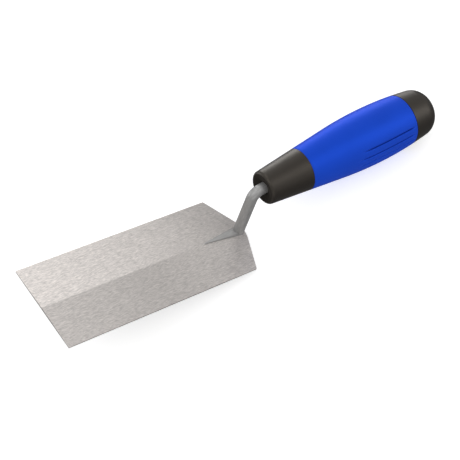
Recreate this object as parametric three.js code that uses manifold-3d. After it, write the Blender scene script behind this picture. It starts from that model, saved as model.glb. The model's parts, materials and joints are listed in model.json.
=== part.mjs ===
// A margin-pattern brick trowel: a flat steel blade with a square toe, a cranked round shank
// standing on its heel, and a turned handle with a soft sleeve between two hard plastic ends.
//
// Units are millimetres and +Z is up. The trowel lies as it does when it is put down: on the nose
// of the blade's heel and on the underside of the butt cap, with the toe raised. The origin is
// under the middle of its bounding box, +X runs from the toe to the butt, and Y = 0 is its plane
// of symmetry.

import * as THREE from "three";
import { mergeVertices } from "three/addons/utils/BufferGeometryUtils.js";
import Module from "manifold-3d";

const wasm = await Module();
wasm.setup();

const radians = THREE.MathUtils.degToRad;
const { cos, sin, tan, atan2, acos, hypot, min, max, PI } = Math;

// ---------------------------------------------------------------------------------------------
// Driving dimensions. In the tool's own frame the blade is level: its underside is z = 0, its toe
// edge is x = 0, and it runs along +X to the heel. Along the handle, s is the distance from the
// front face of the collar.

const GAP = 0.3; // between two pieces that touch
const SEGMENTS = 24; // sides of a turned piece

const BLADE_LENGTH = 127.6; // a 5 inch blade
const BLADE_WIDTH = 50.8; // 2 inches
const EDGE_THICKNESS = 0.8; // at the toe corners
const RIDGE_RISE = 0.6; // the blade's middle over its edges
const HEEL_GAIN = 0.3; // how much thicker the heel is than the toe
const HEEL_SWEEP = radians(23.4); // the heel's two sides slope back by this
const NOSE_RADIUS = 16.4; // rounding where they meet
const NOSE_SIDES = 3; // flats that stand in for that rounding, the middle one to rest on

const TONGUE_LENGTH = 23.9; // from its point to the shank's centreline
const TONGUE_WIDTH = 6.9;
const TONGUE_POINT_WIDTH = 0.8;
const TONGUE_RISE = 1.2; // its top over the blade's ridge, at the shank
const TONGUE_POINT_RISE = 0.5;

const ROD_RADIUS = 3.1; // quarter-inch rod
const ROD_SIDES = 20;
const SHANK_LEAN = radians(1.07); // of the upright stretch, towards the toe
const BEND_RADIUS = 5.6; // of the rod's centreline
const BEND_STEPS = 7;
const KNEE = { x: 123.72, z: 32.82 }; // where the centrelines of the two stretches cross

const HANDLE_PITCH = radians(10.1); // the handle's axis over the blade's plane
const COLLAR_SETBACK = 5.2; // from the knee to the collar's front face
const CONE_ANGLE = radians(6.05); // the straight taper of the collar and the grip's front
const CONE_FRONT_RADIUS = 9.3; // of that cone at s = 0
const FRONT_EDGE_RADIUS = 2;
const DISH_DEPTH = 1.5; // of the collar's hollowed front face, at the bore
const CROWN_RADIUS = 251; // the long curve over the grip
const CROWN_S = 75.2; // its widest place
const CORNER_RADIUS = 10; // of the butt
const DOME_RADIUS = 60; // of the butt's end
const HANDLE_LENGTH = 116.8;
const COLLAR_SEAM = 26.15; // collar to grip
const CAP_SEAM = 97.25; // grip to cap

const TANG_END = 95;
const TANG_GAP = 0.35; // round the tang
const FLATS_START = 40;
const FLATS_END = 84;
const FLATS_RAMP = 1; // length of the step from round to flat
const FLATS_HALF_WIDTH = 2.4;

const SOCKET_DEPTH = 16; // of the core's nose in the collar
const NOSE_SPIGOT_RADIUS = 7.6;
const SLEEVE_THICKNESS = 3.2; // of the soft grip
const TAIL_SPIGOT_RADIUS = 10.2;
const TAIL_SPIGOT_LENGTH = 7; // of the core in the cap
const POCKET_RADIUS = 7.6; // at the back of the core, for the lock washer
const POCKET_FLOOR = 89.5;
const CAP_HOLLOW_RADIUS = 8.6;
const CAP_WALL = 5; // at the butt's end

const WASHER_RADIUS = 7.2;
const WASHER_THICKNESS = 0.6;
const WASHER_TEETH = 6;
const WASHER_SLOT_RADIUS = 5;
const WASHER_SLOT_HALF = radians(7);

const STEEL = { color: 0xb9b4b0, roughness: 0.42, metalness: 1 };
const SHANK_STEEL = { color: 0x8f8c8a, roughness: 0.38, metalness: 1 };
const HARD_PLASTIC = { color: 0x2a2622, roughness: 0.45, metalness: 0 };
const SOFT_PLASTIC = { color: 0x1a3fbe, roughness: 0.5, metalness: 0 };
const SPRING_STEEL = { color: 0x55585c, roughness: 0.35, metalness: 1 };

// ---------------------------------------------------------------------------------------------
// Making and joining solids

function solidOf(geometry) {
  const bare = geometry.clone();
  bare.deleteAttribute("normal");
  bare.deleteAttribute("uv");
  const merged = mergeVertices(bare, 1e-4);
  const vertProperties = merged.attributes.position.array;
  const triVerts = new Uint32Array(merged.index.array);
  return new wasm.Manifold(new wasm.Mesh({ numProp: 3, vertProperties, triVerts }));
}

function geometryOf(solid) {
  const mesh = solid.getMesh();
  const geometry = new THREE.BufferGeometry();
  geometry.setAttribute("position", new THREE.BufferAttribute(mesh.vertProperties, 3));
  geometry.setIndex(new THREE.BufferAttribute(mesh.triVerts, 1));
  return geometry;
}

const common = (a, b) => geometryOf(solidOf(a).intersect(solidOf(b)));
const cut = (a, b) => geometryOf(solidOf(a).subtract(solidOf(b)));

function meshOf(name, geometry, finish) {
  const faceted = geometry.index ? geometry.toNonIndexed() : geometry;
  faceted.computeVertexNormals();
  const mesh = new THREE.Mesh(faceted, new THREE.MeshStandardMaterial(finish));
  mesh.name = name;
  return mesh;
}

// A closed skin through convex rings of the same number of points, each ring running
// counter-clockwise about the way the rings advance.
function skin(rings) {
  const count = rings[0].length;
  const base = (rings.length - 1) * count;
  const index = [];
  for (let start = 0; start < base; start += count) {
    for (let k = 0; k < count; k++) {
      const here = start + k;
      const next = start + ((k + 1) % count);
      index.push(here, next, here + count, next, next + count, here + count);
    }
  }
  for (let k = 1; k < count - 1; k++) {
    index.push(0, k + 1, k);
    index.push(base, base + k, base + k + 1);
  }
  const geometry = new THREE.BufferGeometry().setFromPoints(rings.flat());
  geometry.setIndex(index);
  return geometry;
}

// Points on an arc, both ends included, in the plane of a Shape or of a turned profile.
function arc(x, y, radius, from, to, steps) {
  const points = [];
  for (let i = 0; i <= steps; i++) {
    const angle = from + ((to - from) * i) / steps;
    points.push(new THREE.Vector2(x + radius * cos(angle), y + radius * sin(angle)));
  }
  return points;
}

// A profile of (s, radius) points turned about the X axis. A flat side faces down.
function turned(profile) {
  const points = profile.map((p) => new THREE.Vector2(p.y, p.x));
  return new THREE.LatheGeometry(points, SEGMENTS, PI / SEGMENTS).rotateZ(-PI / 2);
}

const at = (s, radius) => new THREE.Vector2(s, radius);

// ---------------------------------------------------------------------------------------------
// Blade: flat below, with a low ridge down the middle of its top

const ridgeHeight = (x) => EDGE_THICKNESS + RIDGE_RISE + (HEEL_GAIN * x) / BLADE_LENGTH;

const noseX = BLADE_LENGTH - NOSE_RADIUS;

function bladeGeometry() {
  const half = BLADE_WIDTH / 2;
  const sideEnd = noseX + NOSE_RADIUS / cos(HEEL_SWEEP) - half * tan(HEEL_SWEEP);
  const outline = new THREE.Shape([
    new THREE.Vector2(0, half),
    new THREE.Vector2(0, -half),
    new THREE.Vector2(sideEnd, -half),
    ...arc(noseX, 0, NOSE_RADIUS, -HEEL_SWEEP, HEEL_SWEEP, NOSE_SIDES),
    new THREE.Vector2(sideEnd, half),
  ]);
  const margin = 2;
  const blank = new THREE.ExtrudeGeometry(outline, { depth: 2 * margin, bevelEnabled: false });
  const slope = RIDGE_RISE / half;
  const roofRing = (x) => {
    const reach = half + margin;
    const top = ridgeHeight(x);
    return [
      new THREE.Vector3(x, -reach, -margin),
      new THREE.Vector3(x, reach, -margin),
      new THREE.Vector3(x, reach, top - slope * reach),
      new THREE.Vector3(x, 0, top),
      new THREE.Vector3(x, -reach, top - slope * reach),
    ];
  };
  return common(blank, skin([roofRing(-margin), roofRing(BLADE_LENGTH + margin)]));
}

// ---------------------------------------------------------------------------------------------
// Shank: one rod, upright from the tongue, bent, then straight into the handle as its tang

const shankX = (z) => KNEE.x + (KNEE.z - z) * tan(SHANK_LEAN);
const uprightHeading = PI / 2 + SHANK_LEAN;
const tongueTop = ridgeHeight(BLADE_LENGTH) + TONGUE_RISE;

// A ring round the rod where it heads along (cos, sin) of heading in the XZ plane.
function rodRing({ x, z, heading, radius = ROD_RADIUS, halfWidth = radius }) {
  const ring = [];
  for (let k = 0; k < ROD_SIDES; k++) {
    const angle = (2 * PI * (k + 0.5)) / ROD_SIDES;
    const side = max(-halfWidth, min(halfWidth, radius * cos(angle)));
    const lift = radius * sin(angle);
    ring.push(new THREE.Vector3(x - lift * sin(heading), side, z + lift * cos(heading)));
  }
  return ring;
}

// The tang's stations along the handle. Grown by a gap, they make its hole in the core.
function tangStations(grow) {
  const radius = ROD_RADIUS + grow;
  const flat = FLATS_HALF_WIDTH + grow;
  return [
    { s: FLATS_START, radius, halfWidth: radius },
    { s: FLATS_START + FLATS_RAMP, radius, halfWidth: flat },
    { s: FLATS_END, radius, halfWidth: flat },
    { s: FLATS_END + FLATS_RAMP, radius, halfWidth: radius },
  ];
}

function shankGeometry() {
  const foot = tongueTop + GAP;
  const turn = uprightHeading - HANDLE_PITCH;
  const reach = BEND_RADIUS * tan(turn / 2);
  const centre = {
    x: KNEE.x - reach * cos(uprightHeading) + BEND_RADIUS * sin(uprightHeading),
    z: KNEE.z - reach * sin(uprightHeading) - BEND_RADIUS * cos(uprightHeading),
  };
  const rings = [rodRing({ x: shankX(foot), z: foot, heading: uprightHeading })];
  for (let i = 0; i <= BEND_STEPS; i++) {
    const heading = uprightHeading - (turn * i) / BEND_STEPS;
    const x = centre.x - BEND_RADIUS * sin(heading);
    const z = centre.z + BEND_RADIUS * cos(heading);
    rings.push(rodRing({ x, z, heading }));
  }
  const chamfer = 0.8;
  const stations = [
    ...tangStations(0),
    { s: TANG_END - chamfer, radius: ROD_RADIUS },
    { s: TANG_END, radius: ROD_RADIUS - chamfer },
  ];
  for (const { s, ...size } of stations) {
    const x = KNEE.x + (COLLAR_SETBACK + s) * cos(HANDLE_PITCH);
    const z = KNEE.z + (COLLAR_SETBACK + s) * sin(HANDLE_PITCH);
    rings.push(rodRing({ x, z, heading: HANDLE_PITCH, ...size }));
  }
  return skin(rings);
}

// Tongue: the tapered foot that spreads the shank's pull over the blade's heel.
function tongueGeometry() {
  const back = shankX(0);
  const point = back - TONGUE_LENGTH;
  const slope = RIDGE_RISE / (BLADE_WIDTH / 2);
  const ring = (x, halfWidth, top) => {
    const ridge = ridgeHeight(x) + GAP;
    return [
      new THREE.Vector3(x, -halfWidth, ridge - slope * halfWidth),
      new THREE.Vector3(x, 0, ridge),
      new THREE.Vector3(x, halfWidth, ridge - slope * halfWidth),
      new THREE.Vector3(x, halfWidth, top),
      new THREE.Vector3(x, -halfWidth, top),
    ];
  };
  const rings = [ring(point, TONGUE_POINT_WIDTH / 2, ridgeHeight(point) + TONGUE_POINT_RISE)];
  const radius = TONGUE_WIDTH / 2;
  for (const angle of [90, 60, 30, 12].map(radians)) {
    rings.push(ring(back + radius * cos(angle), radius * sin(angle), tongueTop));
  }
  return skin(rings);
}

// ---------------------------------------------------------------------------------------------
// Handle: every piece is turned about the tang

const crownStart = CROWN_S - CROWN_RADIUS * sin(CONE_ANGLE);
const coneRadius = (s) => CONE_FRONT_RADIUS + s * tan(CONE_ANGLE);
const crownCentre = coneRadius(crownStart) - CROWN_RADIUS * cos(CONE_ANGLE);

function outerRadius(s) {
  if (s < crownStart) return coneRadius(s);
  return crownCentre + Math.sqrt(CROWN_RADIUS ** 2 - (s - CROWN_S) ** 2);
}

// The handle's outer surface from one s to another, less a wall.
function outer(from, to, wall = 0) {
  const points = [at(from, outerRadius(from) - wall)];
  const start = max(from, crownStart);
  const steps = Math.ceil((to - start) / 9);
  if (crownStart > from) points.push(at(crownStart, outerRadius(crownStart) - wall));
  for (let i = 1; i <= steps; i++) {
    const s = start + ((to - start) * i) / steps;
    points.push(at(s, outerRadius(s) - wall));
  }
  return points;
}

// The round corner of the butt touches the crown and the dome from inside.
function buttOutline() {
  const domeCentre = HANDLE_LENGTH - DOME_RADIUS;
  const toCrown = CROWN_RADIUS - CORNER_RADIUS;
  const toDome = DOME_RADIUS - CORNER_RADIUS;
  const span = hypot(domeCentre - CROWN_S, crownCentre);
  const bearing = atan2(-crownCentre, domeCentre - CROWN_S);
  const swing = acos((toCrown ** 2 + span ** 2 - toDome ** 2) / (2 * toCrown * span));
  const fromCrown = bearing - swing;
  const corner = {
    s: CROWN_S + toCrown * cos(fromCrown),
    r: crownCentre + toCrown * sin(fromCrown),
  };
  const fromDome = atan2(corner.r, corner.s - domeCentre);
  const round = arc(corner.s, corner.r, CORNER_RADIUS, fromCrown, fromDome, 7);
  const dome = arc(domeCentre, 0, DOME_RADIUS, fromDome, 0, 2).slice(1);
  return [...round, ...dome];
}

const butt = buttOutline();

function collarGeometry() {
  const bore = ROD_RADIUS + TANG_GAP;
  const socket = NOSE_SPIGOT_RADIUS + GAP;
  const floor = COLLAR_SEAM - SOCKET_DEPTH;
  const edge = FRONT_EDGE_RADIUS;
  const edgeCentre = coneRadius(edge) - edge / cos(CONE_ANGLE);
  return turned([
    at(DISH_DEPTH, bore),
    ...arc(edge, edgeCentre, edge, PI, PI / 2 + CONE_ANGLE, 4),
    at(COLLAR_SEAM, coneRadius(COLLAR_SEAM)),
    at(COLLAR_SEAM, socket),
    at(floor, socket),
    at(floor, bore),
    at(DISH_DEPTH, bore),
  ]);
}

function gripGeometry() {
  const from = COLLAR_SEAM + GAP;
  const to = CAP_SEAM - GAP;
  const outside = outer(from, to);
  const inside = outer(from, to, SLEEVE_THICKNESS).reverse();
  return turned([...outside, ...inside, outside[0]]);
}

function coreGeometry() {
  const front = COLLAR_SEAM - SOCKET_DEPTH + GAP;
  const shoulder = COLLAR_SEAM + GAP;
  const back = CAP_SEAM - GAP;
  const end = CAP_SEAM + TAIL_SPIGOT_LENGTH - GAP;
  const body = turned([
    at(front, 0),
    at(front, NOSE_SPIGOT_RADIUS),
    at(shoulder, NOSE_SPIGOT_RADIUS),
    ...outer(shoulder, back, SLEEVE_THICKNESS + GAP),
    at(back, TAIL_SPIGOT_RADIUS),
    at(end, TAIL_SPIGOT_RADIUS),
    at(end, POCKET_RADIUS),
    at(POCKET_FLOOR, POCKET_RADIUS),
    at(POCKET_FLOOR, 0),
  ]);
  const radius = ROD_RADIUS + TANG_GAP;
  const stations = [
    { s: front - 1, radius },
    ...tangStations(TANG_GAP),
    { s: POCKET_FLOOR + 1, radius },
  ];
  const hole = skin(stations.map(({ s, ...size }) => rodRing({ x: s, z: 0, heading: 0, ...size })));
  return cut(body, hole);
}

function capGeometry() {
  const socket = TAIL_SPIGOT_RADIUS + GAP;
  const socketFloor = CAP_SEAM + TAIL_SPIGOT_LENGTH;
  const hollow = HANDLE_LENGTH - CAP_WALL;
  return turned([
    at(hollow, 0),
    at(hollow, CAP_HOLLOW_RADIUS),
    at(socketFloor, CAP_HOLLOW_RADIUS),
    at(socketFloor, socket),
    at(CAP_SEAM, socket),
    at(CAP_SEAM, outerRadius(CAP_SEAM)),
    ...butt,
  ]);
}

// A push-on washer whose teeth bite the tang and hold the core on it.
function washerGeometry() {
  const disc = new THREE.Shape(arc(0, 0, WASHER_RADIUS, 0, 2 * PI, 24).slice(1));
  const hole = [];
  const pitch = (2 * PI) / WASHER_TEETH;
  for (let tooth = 0; tooth < WASHER_TEETH; tooth++) {
    const slot = tooth * pitch;
    const toothEnd = slot + pitch - WASHER_SLOT_HALF;
    hole.push(...arc(0, 0, WASHER_SLOT_RADIUS, slot - WASHER_SLOT_HALF, slot + WASHER_SLOT_HALF, 1));
    hole.push(...arc(0, 0, ROD_RADIUS + TANG_GAP, slot + WASHER_SLOT_HALF, toothEnd, 3));
  }
  disc.holes.push(new THREE.Path(hole));
  const plate = new THREE.ExtrudeGeometry(disc, { depth: WASHER_THICKNESS, bevelEnabled: false });
  return plate.rotateY(PI / 2).translate(POCKET_FLOOR + GAP, 0, 0);
}

// ---------------------------------------------------------------------------------------------
// Assembly

const handle = new THREE.Group();
handle.position.x = KNEE.x + COLLAR_SETBACK * cos(HANDLE_PITCH);
handle.position.z = KNEE.z + COLLAR_SETBACK * sin(HANDLE_PITCH);
handle.rotation.y = -HANDLE_PITCH;
handle.add(
  meshOf("front_collar", collarGeometry(), HARD_PLASTIC),
  meshOf("handle_core", coreGeometry(), HARD_PLASTIC),
  meshOf("grip_sleeve", gripGeometry(), SOFT_PLASTIC),
  meshOf("tang_lock_washer", washerGeometry(), SPRING_STEEL),
  meshOf("butt_cap", capGeometry(), HARD_PLASTIC),
);

const tool = new THREE.Group();
tool.add(
  meshOf("blade", bladeGeometry(), STEEL),
  meshOf("shank_tongue", tongueGeometry(), SHANK_STEEL),
  meshOf("shank", shankGeometry(), SHANK_STEEL),
  handle,
);

// Put down, the tool turns about the heel's nose until the underside of the butt touches too.
function restPitch() {
  const noseEdge = noseX + NOSE_RADIUS * cos(HEEL_SWEEP / NOSE_SIDES);
  const angles = butt.map(({ x: s, y: r }) => {
    const under = -r * cos(PI / SEGMENTS);
    const x = handle.position.x + s * cos(HANDLE_PITCH) - under * sin(HANDLE_PITCH);
    const z = handle.position.z + s * sin(HANDLE_PITCH) + under * cos(HANDLE_PITCH);
    return atan2(z, x - noseEdge);
  });
  return min(...angles);
}

tool.rotation.y = restPitch();

const trowel = new THREE.Group();
trowel.add(tool);
const box = new THREE.Box3().setFromObject(trowel, true);
tool.position.x = -(box.min.x + box.max.x) / 2;
tool.position.z = -box.min.z;

export default trowel;
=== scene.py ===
"""A margin-pattern brick trowel at rest on a pale floor: satin steel blade, cranked shank, soft grip."""

import json
from math import acos, atan2, ceil, cos, hypot, pi, radians, sin, sqrt, tan

import bmesh
import bpy
from mathutils import Matrix, Vector


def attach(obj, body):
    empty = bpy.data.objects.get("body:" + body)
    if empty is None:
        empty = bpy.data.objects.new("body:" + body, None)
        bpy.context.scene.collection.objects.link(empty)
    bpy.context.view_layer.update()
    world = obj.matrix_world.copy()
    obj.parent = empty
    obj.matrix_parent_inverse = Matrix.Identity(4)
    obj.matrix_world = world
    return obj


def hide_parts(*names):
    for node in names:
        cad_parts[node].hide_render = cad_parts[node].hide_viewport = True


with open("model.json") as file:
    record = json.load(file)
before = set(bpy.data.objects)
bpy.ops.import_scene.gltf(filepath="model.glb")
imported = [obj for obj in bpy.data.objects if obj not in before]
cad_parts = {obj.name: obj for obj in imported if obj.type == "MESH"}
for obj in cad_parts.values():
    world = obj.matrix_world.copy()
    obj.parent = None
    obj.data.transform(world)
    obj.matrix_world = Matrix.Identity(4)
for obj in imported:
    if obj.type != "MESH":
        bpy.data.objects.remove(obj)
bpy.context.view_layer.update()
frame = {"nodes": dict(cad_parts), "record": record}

# ---------------------------------------------------------------------------------------------
# The tool's dimensions, in millimetres and radians. In the tool's own frame the blade's underside
# is z = 0, its toe edge is x = 0 and it runs along +X to the heel. Along the handle, s is the
# distance from the front face of the collar.

MM = 0.001

BLADE_LENGTH = 127.6
BLADE_WIDTH = 50.8
EDGE_THICKNESS = 0.8
RIDGE_RISE = 0.6
RIDGE_ROUNDING = 0.9  # half the width of the rounded stretch over the ridge
HEEL_GAIN = 0.3
HEEL_SWEEP = radians(23.4)
NOSE_RADIUS = 16.4
CORNER_ROUNDING = 0.35  # of the toe's corners and of the heel's two outer ones
EDGE_BREAK = 0.22  # bevel on every edge of the blade
BREAK_ANGLE = radians(40)  # edges that turn by more than this are bevelled

TONGUE_LENGTH = 23.9
TONGUE_RADII = (0.4, 3.2)  # of its plan at the foot: round the point, and round the back
TONGUE_TOP_RADII = (0.25, 2.85)
TONGUE_TOP_SETBACK = 0.6  # of its top's point behind its foot's
TONGUE_RISE = 0.8
TONGUE_POINT_RISE = 0.4
TONGUE_RINGS = (  # (from the foot's plan, 0, to the top's, 1; share of the rise)
    (-0.25, -0.3),
    (-0.25, 0),
    (-0.1, 0.03),
    (0.02, 0.12),
    (0.82, 0.86),
    (0.92, 0.96),
    (1.08, 1),
)

ROD_RADIUS = 3.1
ROD_SIDES = 64
ROD_FOOT = ((-0.3, 0.1), (0, 0.1), (0.12, 0.05), (0.3, 0.01), (0.6, 0), (1, 0))  # (rise, flare of its weld)
SHANK_LEAN = radians(1.07)
BEND_RADIUS = 5.6
BEND_STEPS = 28
KNEE = Vector((123.72, 0, 32.82))
HANDLE_PITCH = radians(10.1)
COLLAR_SETBACK = 5.2

CONE_ANGLE = radians(6.05)
CONE_FRONT_RADIUS = 9.3
FRONT_EDGE_RADIUS = 2
CROWN_RADIUS = 251
CROWN_S = 75.2
BUTT_CORNER_RADIUS = 10
DOME_RADIUS = 60
HANDLE_LENGTH = 116.8
COLLAR_SEAM = 26.15
CAP_SEAM = 97.25
SEAM_GAP = 0.1
SEAM_BREAK = 0.12  # bevel on the hard plastic at a seam
SLEEVE_RIM = 0.4  # rounding of the soft sleeve at the cap
TURNED_SIDES = 192

TANG_END = 95
TANG_CHAMFER = 0.8
FLATS = (40, 84)  # along the tang
FLATS_HALF_WIDTH = 2.4
FLATS_RUNOUT = 1
BORE_RADIUS = 3.22
DISH_DEPTH = 1.5  # of the collar's hollowed front face, at the bore
SOCKET_RADIUS = 7.9
SOCKET_DEPTH = 16
SLEEVE_THICKNESS = 3.2
TAIL_SOCKET_RADIUS = 10.5
TAIL_SOCKET_DEPTH = 7
CAP_HOLLOW_RADIUS = 8.6
CAP_WALL = 5

# The grip's grooves: (degrees round from the top, front end, back end), the same on both sides.
GROOVES = ((56.4, 56, 96), (73, 53, 96.2), (88, 55, 96), (103, 60, 95))
GROOVE_HALF_WIDTH = 0.62
GROOVE_DEPTH = 0.9
GROOVE_FADE_FRONT = 9
GROOVE_FADE_BACK = 4
GROOVE_SECTION = (-1.1, -0.85, -0.6, -0.4, -0.2, 0, 0.2, 0.4, 0.6, 0.85, 1.1)  # shares of the half width
GRIP_STATION_STEP = 0.7
GRIP_BEARING_STEP = 3  # degrees


def shank_x(z):
    return KNEE.x + (KNEE.z - z) * tan(SHANK_LEAN)


def cone_radius(s):
    return CONE_FRONT_RADIUS + s * tan(CONE_ANGLE)


TONGUE_REACH = (shank_x(0) - TONGUE_LENGTH, shank_x(0))
CROWN_START = CROWN_S - CROWN_RADIUS * sin(CONE_ANGLE)
CROWN_CENTRE = cone_radius(CROWN_START) - CROWN_RADIUS * cos(CONE_ANGLE)

# ---------------------------------------------------------------------------------------------
# Where the tool lies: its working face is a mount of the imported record, 60 mm behind the toe

face = next(m for m in frame["record"]["mounts"] if m["name"] == "working_face")
FACE_X = 60 * MM
tool_up = -Vector(face["axis"]).normalized()
tool_along = Vector((0, 1, 0)).cross(tool_up)
TOOL = Matrix((tool_along, (0, 1, 0), tool_up)).transposed().to_4x4()
TOOL.translation = Vector(face["pos_m"]) - FACE_X * tool_along

handle_start = KNEE + COLLAR_SETBACK * Vector((cos(HANDLE_PITCH), 0, sin(HANDLE_PITCH)))
HANDLE = TOOL @ Matrix.Translation(MM * handle_start) @ Matrix.Rotation(-HANDLE_PITCH, 4, "Y")


# ---------------------------------------------------------------------------------------------
# Mesh helpers


def smoothstep(t):
    t = min(1.0, max(0.0, t))
    return t * t * (3 - 2 * t)


def arc(x, y, radius, start, end, steps):
    """Points on an arc, both ends included."""
    angles = [start + (end - start) * i / steps for i in range(steps + 1)]
    return [(x + radius * cos(a), y + radius * sin(a)) for a in angles]


def skin(rings, loop=False):
    """Points and faces through rings of equal length; the last ring meets the first, or both are capped."""
    count = len(rings[0])
    points = [p for ring in rings for p in ring]
    faces = []
    for i in range(len(rings) if loop else len(rings) - 1):
        here = i * count
        there = (i + 1) % len(rings) * count
        for k in range(count):
            n = (k + 1) % count
            faces.append((here + k, here + n, there + n, there + k))
    if not loop:
        last = (len(rings) - 1) * count
        faces.append(tuple(reversed(range(count))))
        faces.append(tuple(range(last, last + count)))
    return points, faces


def turned(profile, loop=True):
    """A profile of (s, radius) points turned about the handle's axis; not a loop if it meets the axis."""
    angles = [2 * pi * k / TURNED_SIDES for k in range(TURNED_SIDES)]
    return skin([[(s, r * sin(a), r * cos(a)) for a in angles] for s, r in profile], loop)


def add_piece(name, shape, place, node, finish):
    """A smooth-shaded mesh that stands for a CAD node. Its points are in millimetres, in the frame place."""
    points, faces = shape
    mesh = bpy.data.meshes.new(name)
    mesh.from_pydata([place @ (MM * Vector(p)) for p in points], [], faces)
    bm = bmesh.new()
    bm.from_mesh(mesh)
    bmesh.ops.remove_doubles(bm, verts=bm.verts, dist=1e-7)
    bmesh.ops.recalc_face_normals(bm, faces=bm.faces)
    bm.to_mesh(mesh)
    bm.free()
    mesh.shade_smooth()
    mesh.materials.append(finish)
    piece = bpy.data.objects.new(name, mesh)
    bpy.context.scene.collection.objects.link(piece)
    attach(piece, "root")
    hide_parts(node)
    return piece


def keep_flats_flat(piece):
    """Large faces keep their own normals, and the small ones between them take the bend."""
    weighted = piece.modifiers.new("weighted_normals", "WEIGHTED_NORMAL")
    weighted.keep_sharp = True
    weighted.weight = 100


# ---------------------------------------------------------------------------------------------
# Material helpers


class Finish:
    """A procedural material: noise, ramps and bump on coordinates in the frame place."""

    def __init__(self, name, place, color, roughness, metallic=0.0):
        self.material = bpy.data.materials.new(name)
        self.material.use_nodes = True
        self.nodes = self.material.node_tree.nodes
        self.links = self.material.node_tree.links
        self.shader = self.nodes["Principled BSDF"]
        self.shader.inputs["Base Color"].default_value = (*color, 1)
        self.shader.inputs["Roughness"].default_value = roughness
        self.shader.inputs["Metallic"].default_value = metallic
        self.last_normal = None
        into_place = self.nodes.new("ShaderNodeMapping")
        into_place.vector_type = "TEXTURE"
        into_place.inputs["Location"].default_value = place.to_translation()
        into_place.inputs["Rotation"].default_value = place.to_euler()
        self.join(self.nodes.new("ShaderNodeTexCoord").outputs["Object"], into_place.inputs["Vector"])
        self.coords = into_place.outputs["Vector"]

    def join(self, output, socket):
        self.links.new(output, socket)

    def axes(self):
        """The coordinates one by one, as the outputs X, Y and Z."""
        split = self.nodes.new("ShaderNodeSeparateXYZ")
        self.join(self.coords, split.inputs["Vector"])
        return split.outputs

    def off_axis(self):
        """The distance from the X axis."""
        place = self.axes()
        side, lift = (self.math("POWER", place[axis], 2) for axis in "YZ")
        return self.math("SQRT", self.math("ADD", side, lift), 0)

    def stretched(self, size_mm, warp=None):
        """Coordinates in which a feature of one unit measures size_mm along each axis."""
        mapping = self.nodes.new("ShaderNodeMapping")
        mapping.inputs["Scale"].default_value = [1 / (MM * s) for s in size_mm]
        self.join(warp or self.coords, mapping.inputs["Vector"])
        return mapping.outputs["Vector"]

    def noise(self, size_mm, detail=2.0, roughness=0.5, warp=None, output="Fac"):
        texture = self.nodes.new("ShaderNodeTexNoise")
        texture.inputs["Scale"].default_value = 1
        texture.inputs["Detail"].default_value = detail
        texture.inputs["Roughness"].default_value = roughness
        self.join(self.stretched(size_mm, warp), texture.inputs["Vector"])
        return texture.outputs[output]

    def wavering(self, size_mm, amount_mm):
        """The piece's coordinates, pushed about by a slow noise."""
        centred = self.nodes.new("ShaderNodeVectorMath")
        centred.operation = "SUBTRACT"
        centred.inputs[1].default_value = (0.5, 0.5, 0.5)
        self.join(self.noise(size_mm, detail=1, output="Color"), centred.inputs[0])
        scaled = self.nodes.new("ShaderNodeVectorMath")
        scaled.operation = "MULTIPLY_ADD"
        scaled.inputs[1].default_value = [MM * a for a in amount_mm]
        self.join(centred.outputs["Vector"], scaled.inputs[0])
        self.join(self.coords, scaled.inputs[2])
        return scaled.outputs["Vector"]

    def ranged(self, value, low, high, start=0.0, end=1.0):
        """value from start to end, mapped to low to high."""
        node = self.nodes.new("ShaderNodeMapRange")
        node.inputs["From Min"].default_value = start
        node.inputs["From Max"].default_value = end
        node.inputs["To Min"].default_value = low
        node.inputs["To Max"].default_value = high
        self.join(value, node.inputs["Value"])
        return node.outputs["Result"]

    def math(self, operation, a, b):
        node = self.nodes.new("ShaderNodeMath")
        node.operation = operation
        for socket, value in zip(node.inputs, (a, b)):
            if isinstance(value, (int, float)):
                socket.default_value = value
            else:
                self.join(value, socket)
        return node.outputs["Value"]

    def mixed(self, factor, low, high):
        """A colour between low and high, each of them a colour or another mix."""
        node = self.nodes.new("ShaderNodeMix")
        node.data_type = "RGBA"
        self.join(factor, node.inputs["Factor"])
        ends = [socket for socket in node.inputs if socket.type == "RGBA"]
        for socket, color in zip(ends, (low, high)):
            if isinstance(color, tuple):
                socket.default_value = (*color, 1)
            else:
                self.join(color, socket)
        return next(socket for socket in node.outputs if socket.type == "RGBA")

    def tint(self, factor, low, high):
        """Base colour between low and high."""
        self.join(self.mixed(factor, low, high), self.shader.inputs["Base Color"])

    def bump(self, height, depth_mm):
        """Relief of depth_mm, on top of any earlier bump."""
        node = self.nodes.new("ShaderNodeBump")
        node.inputs["Distance"].default_value = MM * depth_mm
        self.join(height, node.inputs["Height"])
        if self.last_normal:
            self.join(self.last_normal, node.inputs["Normal"])
        self.last_normal = node.outputs["Normal"]
        self.join(self.last_normal, self.shader.inputs["Normal"])


def scaled(color, share):
    return tuple(c * share for c in color)


# ---------------------------------------------------------------------------------------------
# Materials. Colours, shades, metallic shares and roughness are matched to the photograph under the
# lights below. They are not measured properties of the real tool.

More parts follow.
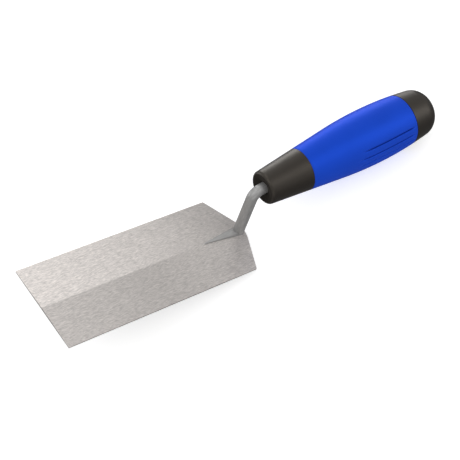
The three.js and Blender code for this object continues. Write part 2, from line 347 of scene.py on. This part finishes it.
BLADE_COLOR = (0.98, 0.93, 0.896)  # the steel at its brightest; the blade's painted light and shade are shares of it
PAINTED_LIT_HALF = (0.79, 0.68, 0.485)  # painted light and shade along the lit +Y half: shares at the toe, midway and at the heel
PAINTED_SHADED_HALF = (0.62, 0.53, 0.635)  # and the painted light and shade along the -Y half
PAINTED_SHADE_BLEND = 0.4  # mm on each side of the ridge, over which one half's painted shade turns into the other's
UNDERSIDE_BLEND = (0.1, 0.3)  # heights in mm, between which the underside's single tone turns into the halves' painted light and shade
GRAIN_RANGE = (0.55, 0.95)  # of the summed scratches
SHANK_METALLIC = 0.55
TONGUE_COLOR = (0.375, 0.372, 0.367)
TONGUE_EDGE = (0.6, 0.85)  # shares of its half width, between which painted shade darkens its sloping sides
# painted shade on the tongue's sloping sides, as a share of its colour
TONGUE_SIDE_PAINTED_SHADE = 0.76
SHANK_COLOR = (0.33, 0.328, 0.325)
PLASTIC_COLOR = (0.0085, 0.007, 0.006)
PLASTIC_SHEEN_COLOR = (1.0, 0.9, 0.78)
PLASTIC_SPECULAR = 0.6
COLLAR_FRONT_INSET = (1.3, 0.7)  # mm inside the cone's front edge, between which its face's painted shade begins
COLLAR_FRONT_DEPTH = (4, 5)  # mm behind the face, between which its painted shade and added roughness end
COLLAR_FRONT_PAINTED_SHADE = 0.15  # painted shade on the collar's front face, as a share of the plastic's colour
COLLAR_FRONT_ROUGHER = 0.45  # than the plastic elsewhere
GRIP_COLOR = (0.0105, 0.061, 0.535)
GRIP_SHEEN_COLOR = (0.14, 0.42, 1.0)
GRIP_SPECULAR = 0.15
GRIP_METALLIC = 0.32  # gives the grip its blue sheen
GROOVE_BLEND = (0.1, 0.5)  # depths in mm, between which painted shade darkens a groove
GROOVE_PAINTED_SHADE = 0.65  # painted shade, as a share of the grip's colour, down in its grooves
CORE_COLOR = (0.03, 0.03, 0.03)
WASHER_COLOR = (0.10, 0.10, 0.11)


def blade_finish():
    """Ground steel: wavering scratches over slow bands of polish, with painted light and shade on each half
    from toe to heel.
    """
    steel = Finish("ground_steel_painted_shade", TOOL, BLADE_COLOR, 0.6, metallic=1)
    warp = steel.wavering((6, 4, 4), (1.5, 1.8, 0.2))
    scratches = steel.noise((2.6, 0.42, 0.8), detail=3, roughness=0.65, warp=warp)
    fine = steel.noise((1.6, 0.25, 0.3), detail=2, roughness=0.6, warp=warp)
    bands = steel.noise((30, 9, 9), detail=2)
    grain = steel.math("ADD", scratches, steel.math("MULTIPLY", fine, 0.5))
    shade = steel.ranged(grain, 0.78, 1.22, *GRAIN_RANGE)
    place = steel.axes()
    length = MM * BLADE_LENGTH

    # Painted light and shade along the blade: a share at the toe, midway and at the heel.
    def lengthwise(shares):
        toe, middle, heel = shares
        first = steel.ranged(place["X"], 0, middle - toe, start=0, end=length / 2)
        second = steel.ranged(place["X"], 0, heel - middle, start=length / 2, end=length)
        return steel.math("ADD", steel.math("ADD", first, second), toe)

    # The underside is one flat face, so it has one tone, without the halves' painted light and shade: the
    # mean of the two halves.
    upper = steel.ranged(place["Z"], 0, 1, *(MM * z for z in UNDERSIDE_BLEND))
    toward_lit_half = steel.ranged(place["Y"], -0.5, 0.5, start=-MM * PAINTED_SHADE_BLEND, end=MM * PAINTED_SHADE_BLEND)
    half = steel.math("ADD", steel.math("MULTIPLY", toward_lit_half, upper), 0.5)
    shaded_half_share = steel.math("MULTIPLY", steel.math("SUBTRACT", 1, half), lengthwise(PAINTED_SHADED_HALF))
    share = steel.math("ADD", shaded_half_share, steel.math("MULTIPLY", half, lengthwise(PAINTED_LIT_HALF)))
    # The base colour is the grain over the painted light and shade.
    steel.tint(steel.math("MULTIPLY", share, shade), (0, 0, 0), BLADE_COLOR)
    worn = steel.ranged(grain, 0.56, 0.64, *GRAIN_RANGE)
    rough = steel.math("ADD", worn, steel.ranged(bands, -0.03, 0.03))
    steel.join(rough, steel.shader.inputs["Roughness"])
    steel.bump(scratches, 0.02)
    steel.bump(fine, 0.006)
    return steel.material


def shank_finish(name, color, side_painted_shade=None):
    """Darker satin steel with a fine grain. The last argument, if given, is the painted shade on the
    tongue's sloping sides.
    """
    steel = Finish(name, TOOL, color, 0.45, metallic=SHANK_METALLIC)
    grain = steel.noise((3, 0.5, 3), detail=3)
    mottle = steel.noise((2.5, 2.5, 2.5), detail=2)
    ground = steel.mixed(grain, scaled(color, 0.7), scaled(color, 1.3))
    # Painted shade on the tongue's sloping sides.
    if side_painted_shade:
        place = steel.axes()
        point, back = TONGUE_REACH
        half_width = steel.ranged(place["X"], *TONGUE_RADII, start=MM * point, end=MM * back)
        aside = steel.math("DIVIDE", steel.math("ABSOLUTE", place["Y"], 0), MM)
        edge = steel.ranged(steel.math("DIVIDE", aside, half_width), 0, 1, *TONGUE_EDGE)
        steel.tint(edge, ground, scaled(color, side_painted_shade))
    else:
        steel.join(ground, steel.shader.inputs["Base Color"])
    steel.join(steel.ranged(mottle, 0.38, 0.5), steel.shader.inputs["Roughness"])
    steel.bump(grain, 0.01)
    return steel.material


def plastic_finish(name, color):
    """Moulded plastic with a very fine texture; the collar's front face has painted shade and is rougher."""
    plastic = Finish(name, HANDLE, color, 0.42)
    plastic.shader.inputs["Specular IOR Level"].default_value = PLASTIC_SPECULAR
    plastic.shader.inputs["Specular Tint"].default_value = (*PLASTIC_SHEEN_COLOR, 1)
    texture = plastic.noise((0.35, 0.35, 0.35), detail=3, roughness=0.6)
    clouds = plastic.noise((9, 9, 9), detail=2)
    edges = [MM * (CONE_FRONT_RADIUS - inset) for inset in COLLAR_FRONT_INSET]
    inner = plastic.ranged(plastic.off_axis(), 1, 0, *edges)
    ahead = plastic.ranged(plastic.axes()["X"], 1, 0, *(MM * s for s in COLLAR_FRONT_DEPTH))
    front = plastic.math("MULTIPLY", inner, ahead)
    smooth = plastic.mixed(clouds, scaled(color, 0.85), scaled(color, 1.15))
    # Painted shade on the collar's front face.
    plastic.tint(front, smooth, scaled(color, COLLAR_FRONT_PAINTED_SHADE))
    rougher = plastic.math("MULTIPLY", front, COLLAR_FRONT_ROUGHER)
    rough = plastic.math("ADD", plastic.ranged(clouds, 0.38, 0.47), rougher)
    plastic.join(rough, plastic.shader.inputs["Roughness"])
    plastic.bump(texture, 0.012)
    return plastic.material


def grip_finish():
    """Soft-touch rubber with a faint pebble and a blue sheen, with painted shade down in its grooves."""
    rubber = Finish("soft_rubber", HANDLE, GRIP_COLOR, 0.46, metallic=GRIP_METALLIC)
    rubber.shader.inputs["Specular IOR Level"].default_value = GRIP_SPECULAR
    rubber.shader.inputs["Specular Tint"].default_value = (*GRIP_SHEEN_COLOR, 1)
    pebble = rubber.noise((0.5, 0.5, 0.5), detail=2)
    clouds = rubber.noise((14, 14, 14), detail=2)
    # Painted shade where the skin sinks below the crowned profile, in the grooves.
    past_crown = rubber.math("POWER", rubber.math("SUBTRACT", rubber.axes()["X"], MM * CROWN_S), 2)
    crown = rubber.math("SQRT", rubber.math("SUBTRACT", (MM * CROWN_RADIUS) ** 2, past_crown), 0)
    sunk = rubber.math("SUBTRACT", rubber.math("ADD", crown, MM * CROWN_CENTRE), rubber.off_axis())
    groove_painted_shade = rubber.ranged(sunk, 0, 1, *(MM * depth for depth in GROOVE_BLEND))
    skin_color = rubber.mixed(clouds, scaled(GRIP_COLOR, 0.94), scaled(GRIP_COLOR, 1.06))
    rubber.tint(groove_painted_shade, skin_color, scaled(GRIP_COLOR, GROOVE_PAINTED_SHADE))
    rubber.join(rubber.ranged(clouds, 0.43, 0.5), rubber.shader.inputs["Roughness"])
    rubber.bump(pebble, 0.01)
    return rubber.material


def washer_finish():
    """Blued spring steel, rubbed in places."""
    steel = Finish("blued_steel", HANDLE, WASHER_COLOR, 0.35, metallic=1)
    rubbed = steel.noise((1.5, 1.5, 1.5), detail=3)
    steel.tint(rubbed, scaled(WASHER_COLOR, 0.7), scaled(WASHER_COLOR, 1.8))
    steel.join(steel.ranged(rubbed, 0.28, 0.45), steel.shader.inputs["Roughness"])
    return steel.material


GROUND_STEEL_PAINTED_SHADE = blade_finish()
FORGED_STEEL = shank_finish("forged_steel", TONGUE_COLOR, side_painted_shade=TONGUE_SIDE_PAINTED_SHADE)
ROD_STEEL = shank_finish("rod_steel", SHANK_COLOR)
HARD_PLASTIC = plastic_finish("hard_plastic", PLASTIC_COLOR)
CORE_PLASTIC = plastic_finish("core_plastic", CORE_COLOR)
SOFT_RUBBER = grip_finish()
BLUED_STEEL = washer_finish()

# ---------------------------------------------------------------------------------------------
# Blade


def blade_top(x, y):
    """Height of the blade's upper face: two planes that meet in a softly rounded ridge."""
    reach = abs(y)
    if reach < RIDGE_ROUNDING:
        reach = (y * y + RIDGE_ROUNDING**2) / (2 * RIDGE_ROUNDING)
    fall = RIDGE_RISE * reach / (BLADE_WIDTH / 2)
    return EDGE_THICKNESS + RIDGE_RISE - fall + HEEL_GAIN * x / BLADE_LENGTH


def rounded_corner(corner, before, after, radius, steps=4):
    """Points that round the corner of an outline."""
    corner = Vector(corner)
    into = (Vector(before) - corner).normalized()
    out = (Vector(after) - corner).normalized()
    half = into.angle(out) / 2
    middle = (into + out).normalized()
    centre = corner + middle * radius / sin(half)
    bearing = atan2(-middle.y, -middle.x)
    swing = pi / 2 - half
    if into.cross(out) < 0:
        swing = -swing
    return [Vector(p) for p in arc(*centre, radius, bearing + swing, bearing - swing, steps)]


def blade_outline():
    half = BLADE_WIDTH / 2
    nose_x = BLADE_LENGTH - NOSE_RADIUS
    side_end = nose_x + NOSE_RADIUS / cos(HEEL_SWEEP) - half * tan(HEEL_SWEEP)
    nose = [Vector(p) for p in arc(nose_x, 0, NOSE_RADIUS, -HEEL_SWEEP, HEEL_SWEEP, 24)]
    toe = [(0, half), (0, -half)]
    heel = [(side_end, -half), (side_end, half)]
    return [
        *rounded_corner(toe[0], heel[1], toe[1], CORNER_ROUNDING),
        *rounded_corner(toe[1], toe[0], heel[0], CORNER_ROUNDING),
        *rounded_corner(heel[0], toe[1], nose[0], CORNER_ROUNDING),
        *nose,
        *rounded_corner(heel[1], nose[-1], toe[0], CORNER_ROUNDING),
    ]


def blade_shape():
    """The outline, cut along the ridge's rounding, and raised to the blade's upper face."""
    bm = bmesh.new()
    bm.faces.new([bm.verts.new((*p, 0)) for p in blade_outline()])
    for share in (-1, -0.5, 0, 0.5, 1):
        cut = bm.verts[:] + bm.edges[:] + bm.faces[:]
        plane = (0, share * RIDGE_ROUNDING, 0)
        bmesh.ops.bisect_plane(bm, geom=cut, plane_co=plane, plane_no=(0, 1, 0), dist=1e-5)
    raised = bmesh.ops.extrude_face_region(bm, geom=bm.faces[:], use_keep_orig=True)
    for element in raised["geom"]:
        if isinstance(element, bmesh.types.BMVert):
            element.co.z = blade_top(element.co.x, element.co.y)
    bm.verts.index_update()
    points = [v.co.copy() for v in bm.verts]
    faces = [[v.index for v in f.verts] for f in bm.faces]
    bm.free()
    return points, faces


def add_blade():
    blade = add_piece("blade_plate", blade_shape(), TOOL, "blade", GROUND_STEEL_PAINTED_SHADE)
    bevel = blade.modifiers.new("edge_break", "BEVEL")
    bevel.width = MM * EDGE_BREAK
    bevel.segments = 2
    bevel.limit_method = "ANGLE"
    bevel.angle_limit = BREAK_ANGLE
    keep_flats_flat(blade)


# ---------------------------------------------------------------------------------------------
# Shank and its tongue

EMBED = 0.05  # how far one welded piece reaches into the next
RIDGE_AT_HEEL = EDGE_THICKNESS + RIDGE_RISE + HEEL_GAIN


def tongue_shape():
    """A tapered wedge with sloping sides: round at the back, with a soft foot and a soft upper edge."""
    point, back = TONGUE_REACH
    low = blade_top(point, 0) + TONGUE_POINT_RISE
    slope = (RIDGE_AT_HEEL + TONGUE_RISE - low) / TONGUE_LENGTH

    def plan(inward):
        """Two arcs and their tangents, from the foot's plan (0) to the top's (1)."""
        small, large = (a + (b - a) * inward for a, b in zip(TONGUE_RADII, TONGUE_TOP_RADII))
        tip = point + TONGUE_RADII[0] + TONGUE_TOP_SETBACK * inward
        turn = acos((small - large) / (back - tip))
        return arc(back, 0, large, -turn, turn, 32) + arc(tip, 0, small, turn, 2 * pi - turn, 10)

    rings = []
    for inward, rise in TONGUE_RINGS:
        ring = []
        for x, y in plan(inward):
            foot = blade_top(x, y) - EMBED
            ring.append((x, y, foot + rise * (low + slope * (x - point) - foot)))
        rings.append(ring)
    return skin(rings)


def rod_ring(x, z, heading, radius=ROD_RADIUS, half_width=None):
    """A ring round the rod where it heads along (cos, sin) of heading in the XZ plane."""
    ring = []
    for k in range(ROD_SIDES):
        angle = 2 * pi * (k + 0.5) / ROD_SIDES
        side = radius * cos(angle)
        if half_width:
            side = max(-half_width, min(half_width, side))
        lift = radius * sin(angle)
        ring.append((x - lift * sin(heading), side, z + lift * cos(heading)))
    return ring


def shank_shape():
    """One rod: a weld fillet at its foot, upright, bent, then straight into the handle as its tang."""
    upright = pi / 2 + SHANK_LEAN
    foot = RIDGE_AT_HEEL - EMBED
    rings = []
    for rise, flare in ROD_FOOT:
        rings.append(rod_ring(shank_x(foot + rise), foot + rise, upright, ROD_RADIUS + flare))
    turn = upright - HANDLE_PITCH
    reach = BEND_RADIUS * tan(turn / 2)
    centre_x = KNEE.x - reach * cos(upright) + BEND_RADIUS * sin(upright)
    centre_z = KNEE.z - reach * sin(upright) - BEND_RADIUS * cos(upright)
    for i in range(BEND_STEPS + 1):
        heading = upright - turn * i / BEND_STEPS
        x = centre_x - BEND_RADIUS * sin(heading)
        z = centre_z + BEND_RADIUS * cos(heading)
        rings.append(rod_ring(x, z, heading))
    for s, radius, half_width in (
        (FLATS[0], ROD_RADIUS, None),
        (FLATS[0] + FLATS_RUNOUT, ROD_RADIUS, FLATS_HALF_WIDTH),
        (FLATS[1], ROD_RADIUS, FLATS_HALF_WIDTH),
        (FLATS[1] + FLATS_RUNOUT, ROD_RADIUS, None),
        (TANG_END - TANG_CHAMFER, ROD_RADIUS, None),
        (TANG_END, ROD_RADIUS - TANG_CHAMFER, None),
    ):
        along = COLLAR_SETBACK + s
        x = KNEE.x + along * cos(HANDLE_PITCH)
        z = KNEE.z + along * sin(HANDLE_PITCH)
        rings.append(rod_ring(x, z, HANDLE_PITCH, radius, half_width))
    return skin(rings)


def add_shank():
    tongue = add_piece("tongue_forging", tongue_shape(), TOOL, "shank_tongue", FORGED_STEEL)
    keep_flats_flat(tongue)
    add_piece("shank_rod", shank_shape(), TOOL, "shank", ROD_STEEL)


# ---------------------------------------------------------------------------------------------
# Handle


def outer_radius(s):
    if s < CROWN_START:
        return cone_radius(s)
    return CROWN_CENTRE + sqrt(CROWN_RADIUS**2 - (s - CROWN_S) ** 2)


def butt_outline():
    """The butt's round corner, which touches the crown and the dome from inside, then the dome."""
    dome_centre = HANDLE_LENGTH - DOME_RADIUS
    to_crown = CROWN_RADIUS - BUTT_CORNER_RADIUS
    to_dome = DOME_RADIUS - BUTT_CORNER_RADIUS
    span = hypot(dome_centre - CROWN_S, CROWN_CENTRE)
    bearing = atan2(-CROWN_CENTRE, dome_centre - CROWN_S)
    swing = acos((to_crown**2 + span**2 - to_dome**2) / (2 * to_crown * span))
    from_crown = bearing - swing
    s = CROWN_S + to_crown * cos(from_crown)
    r = CROWN_CENTRE + to_crown * sin(from_crown)
    from_dome = atan2(r, s - dome_centre)
    corner = arc(s, r, BUTT_CORNER_RADIUS, from_crown, from_dome, 24)
    return corner + arc(dome_centre, 0, DOME_RADIUS, from_dome, 0, 10)[1:]


def collar_shape():
    edge = FRONT_EDGE_RADIUS
    edge_centre = cone_radius(edge) - edge / cos(CONE_ANGLE)
    end = COLLAR_SEAM - SEAM_GAP / 2
    last = outer_radius(end)
    floor = COLLAR_SEAM - SOCKET_DEPTH
    front_edge = arc(edge, edge_centre, edge, pi, pi / 2 + CONE_ANGLE, 12)
    return turned([
        (DISH_DEPTH + 0.15, BORE_RADIUS),
        (DISH_DEPTH, BORE_RADIUS + 0.1),
        (0.06, edge_centre - 0.3),
        *front_edge,
        (end - SEAM_BREAK, outer_radius(end - SEAM_BREAK)),
        (end - 0.3 * SEAM_BREAK, last - 0.3 * SEAM_BREAK),
        (end, last - SEAM_BREAK),
        (end, SOCKET_RADIUS),
        (floor, SOCKET_RADIUS),
        (floor, BORE_RADIUS),
    ])


def groove_depth(s, degrees):
    """How deep the grooves cut at s, and degrees round from the top."""
    depth = 0
    for bearing, front, back in GROOVES:
        off = radians(abs(abs(degrees) - bearing)) * outer_radius(s) / GROOVE_HALF_WIDTH
        if off >= 1:
            continue
        along = smoothstep((s - front) / GROOVE_FADE_FRONT) * smoothstep((back - s) / GROOVE_FADE_BACK)
        depth = max(depth, GROOVE_DEPTH * along * cos(off * pi / 2) ** 2)
    return depth


def grip_bearings():
    """Degrees round the grip from its top: even steps, and finer ones across each groove."""
    across = [share * GROOVE_HALF_WIDTH for share in GROOVE_SECTION]
    fine = set()
    for bearing, _, _ in GROOVES:
        for off in across:
            degrees = bearing + off / outer_radius(CROWN_S) * 180 / pi
            fine |= {degrees, -degrees}
    reach = max(across) / outer_radius(CROWN_S) * 180 / pi
    even = [GRIP_BEARING_STEP * k - 180 for k in range(360 // GRIP_BEARING_STEP)]
    clear = [d for d in even if all(abs(abs(d) - g[0]) > reach + 0.5 for g in GROOVES)]
    return sorted(fine | set(clear))


def grip_shape():
    """The sleeve: crowned, grooved along both sides, with a rounded rim where it meets the cap."""
    front = COLLAR_SEAM + SEAM_GAP / 2
    back = CAP_SEAM - SEAM_GAP / 2
    bearings = grip_bearings()
    steps = ceil((back - front - 2 * SLEEVE_RIM) / GRIP_STATION_STEP)
    stations = [front + SLEEVE_RIM + (back - front - 2 * SLEEVE_RIM) * i / steps for i in range(steps + 1)]
    profile = [(s, 0) for s in stations]
    for a in (0.35, 0.75, 1.15, pi / 2):
        profile.append((back - SLEEVE_RIM * (1 - sin(a)), SLEEVE_RIM * (1 - cos(a))))
    profile += [(back, SLEEVE_THICKNESS), (front, SLEEVE_THICKNESS)]
    profile += [(front, SEAM_BREAK), (front + 0.3 * SEAM_BREAK, 0.3 * SEAM_BREAK), (front + SEAM_BREAK, 0)]
    rings = []
    for s, inset in profile:
        ring = []
        for degrees in bearings:
            radius = outer_radius(s) - inset
            if not inset:
                radius -= groove_depth(s, degrees)
            ring.append((s, radius * sin(radians(degrees)), radius * cos(radians(degrees))))
        rings.append(ring)
    return skin(rings, loop=True)


def cap_shape():
    front = CAP_SEAM + SEAM_GAP / 2
    first = outer_radius(front)
    hollow = HANDLE_LENGTH - CAP_WALL
    floor = CAP_SEAM + TAIL_SOCKET_DEPTH
    return turned([
        (hollow, 0),
        (hollow, CAP_HOLLOW_RADIUS),
        (floor, CAP_HOLLOW_RADIUS),
        (floor, TAIL_SOCKET_RADIUS),
        (front, TAIL_SOCKET_RADIUS),
        (front, first - SEAM_BREAK),
        (front + 0.3 * SEAM_BREAK, first - 0.3 * SEAM_BREAK),
        (front + SEAM_BREAK, outer_radius(front + SEAM_BREAK)),
        *butt_outline(),
    ], loop=False)


def add_handle():
    collar = add_piece("collar_shell", collar_shape(), HANDLE, "front_collar", HARD_PLASTIC)
    keep_flats_flat(collar)
    add_piece("grip_rubber", grip_shape(), HANDLE, "grip_sleeve", SOFT_RUBBER)
    cap = add_piece("cap_shell", cap_shape(), HANDLE, "butt_cap", HARD_PLASTIC)
    keep_flats_flat(cap)
    for node, slot, finish in (
        ("handle_core", "core_plastic", CORE_PLASTIC),
        ("tang_lock_washer", "spring_steel", BLUED_STEEL),
    ):
        frame["nodes"][node].data.materials.clear()
        frame["nodes"][node].data.materials.append(finish)


# ---------------------------------------------------------------------------------------------
# Floor, light and camera


FLOOR_REACH = 6  # metres from the middle to each side
FLOOR_DROP = 0.0003  # metres; the round butt cap reaches 0.12 mm below the flat of its CAD node
FLOOR_COLOR = (0.75, 0.75, 0.75)
FLOOR_ROUGHNESS = 0.9
FLOOR_GLOW = 0.5


def add_floor():
    """A pale floor that glows a little, since the photograph's background is white."""
    corners = [(x * FLOOR_REACH, y * FLOOR_REACH, 0) for x, y in ((-1, -1), (1, -1), (1, 1), (-1, 1))]
    floor_mesh = bpy.data.meshes.new("floor")
    floor_mesh.from_pydata(corners, [], [(0, 1, 2, 3)])
    floor = bpy.data.objects.new("floor", floor_mesh)
    bpy.context.scene.collection.objects.link(floor)
    floor.location.z = -FLOOR_DROP
    paint = Finish("floor_paint", Matrix.Identity(4), FLOOR_COLOR, FLOOR_ROUGHNESS)
    paint.shader.inputs["Emission Color"].default_value = (1, 1, 1, 1)
    paint.shader.inputs["Emission Strength"].default_value = FLOOR_GLOW
    floor_mesh.materials.append(paint.material)
    floor.visible_glossy = False


SKY_BELOW = 0.18  # strength under the horizon
SKY_ABOVE = 0.62
HORIZON_BLEND = 0.15  # sine of the angle over which they blend, on each side of the horizon
PANEL_DISTANCE = 1.5
LOW_PANEL = (0.8, 0.75)
HIGH_PANEL = (0.71, 0.75)
PANELS = (  # (name, bearing in degrees with 0 at +Y and 90 at +X, elevation, size in metres, radiance)
    ("far_right_low", 30, 0, LOW_PANEL, 3.97),
    ("near_left_low", 210, 0, LOW_PANEL, 1.12),
    ("far_left_low", 330, 0, LOW_PANEL, 2.44),
    ("right", 120, 28, HIGH_PANEL, 2.06),
    ("far_high", 0, 55, HIGH_PANEL, 2.3),
    ("near_right_high", 135, 55, HIGH_PANEL, 0.8),
    ("near_high", 180, 55, HIGH_PANEL, 0.8),
    ("left_high", 270, 55, HIGH_PANEL, 2.21),
)


def add_panel(name, bearing, elevation, size, radiance):
    """A soft panel that faces the tool."""
    a = radians(bearing)
    e = radians(elevation)
    light = bpy.data.lights.new(name, "AREA")
    light.shape = "RECTANGLE"
    light.size, light.size_y = size
    light.energy = radiance * pi * size[0] * size[1]
    panel = bpy.data.objects.new(name, light)
    bpy.context.scene.collection.objects.link(panel)
    away = Vector((sin(a) * cos(e), cos(a) * cos(e), sin(e)))
    panel.location = PANEL_DISTANCE * away
    panel.rotation_euler = away.to_track_quat("Z", "Y").to_euler()


def add_light():
    """A sky that is darker below the horizon, and the panels."""
    world = bpy.data.worlds.new("studio")
    bpy.context.scene.world = world
    world.use_nodes = True
    nodes = world.node_tree.nodes
    join = world.node_tree.links.new
    sky = nodes["Background"]
    sky.inputs["Color"].default_value = (1, 1, 1, 1)
    direction = nodes.new("ShaderNodeTexCoord")
    split = nodes.new("ShaderNodeSeparateXYZ")
    join(direction.outputs["Generated"], split.inputs["Vector"])
    rise = nodes.new("ShaderNodeMapRange")
    rise.inputs["From Min"].default_value = -HORIZON_BLEND
    rise.inputs["From Max"].default_value = HORIZON_BLEND
    rise.inputs["To Min"].default_value = SKY_BELOW
    rise.inputs["To Max"].default_value = SKY_ABOVE
    join(split.outputs["Z"], rise.inputs["Value"])
    join(rise.outputs["Result"], sky.inputs["Strength"])
    for panel in PANELS:
        add_panel(*panel)


# The photograph's view, solved from the blade's edges. Distances are in metres, LENS in millimetres.
AIM = Vector((-0.0160, -0.0054, 0.0200))
VIEW_AZIMUTH = radians(-35.11)
VIEW_ELEVATION = radians(59.74)
VIEW_ROLL = radians(-0.15)
VIEW_DISTANCE = 0.6335
LENS = 94.26


def add_camera():
    lens = bpy.data.cameras.new("camera")
    lens.lens = LENS
    lens.clip_start = 0.01
    camera = bpy.data.objects.new("camera", lens)
    bpy.context.scene.collection.objects.link(camera)
    flat = cos(VIEW_ELEVATION)
    back = Vector((sin(VIEW_AZIMUTH) * flat, -cos(VIEW_AZIMUTH) * flat, sin(VIEW_ELEVATION)))
    camera.location = AIM + VIEW_DISTANCE * back
    turn = back.to_track_quat("Z", "Y").to_matrix() @ Matrix.Rotation(VIEW_ROLL, 3, "Z")
    camera.rotation_euler = turn.to_euler()
    bpy.context.scene.camera = camera


add_blade()
add_shank()
add_handle()
add_floor()
add_light()
add_camera()
bpy.context.scene.view_settings.view_transform = "Standard"

bpy.context.view_layer.update()
